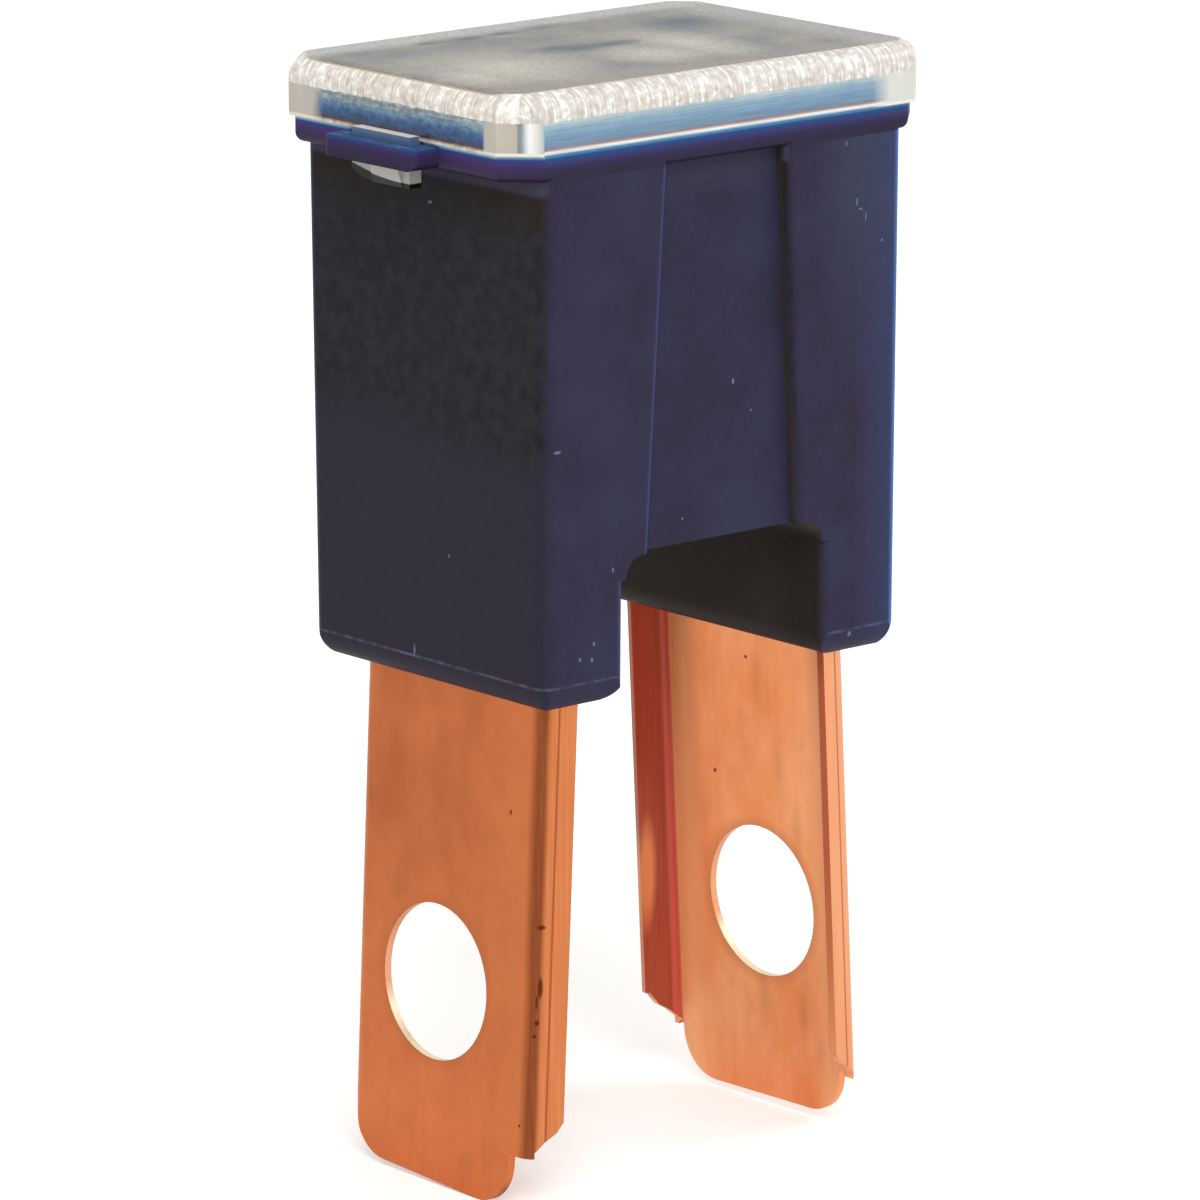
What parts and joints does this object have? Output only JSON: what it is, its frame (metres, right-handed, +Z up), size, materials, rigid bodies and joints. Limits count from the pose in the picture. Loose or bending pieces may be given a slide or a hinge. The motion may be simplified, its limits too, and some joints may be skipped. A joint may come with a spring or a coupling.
{
  "type": "fusible link",
  "caption": "Bolt-in fusible link: two-legged moulded housing with a clear cover that clips on and two folded copper channel terminals, each with a bolt hole.",
  "frame": {"origin": "middle of the plane that the lower ends of the two terminals stand on", "axes": "+Z up from the terminals to the cover, +X towards the right terminal, +Y to the back wide face"},
  "size_m": [0.0246, 0.0156, 0.046],
  "materials": {
    "housing_plastic": "dark blue-violet moulded plastic, semi-gloss, lightly scuffed",
    "cover_plastic": "clear moulded plastic with a fine cloudy texture on top",
    "copper": "rolled bare copper, satin, with slight tarnish",
    "tin": "dull tin"
  },
  "bodies": {
    "root": {"housing": "housing_plastic", "cover": "cover_plastic", "fuse_element": "copper", "tin_pellet": "tin"}
  },
  "joints": []
}
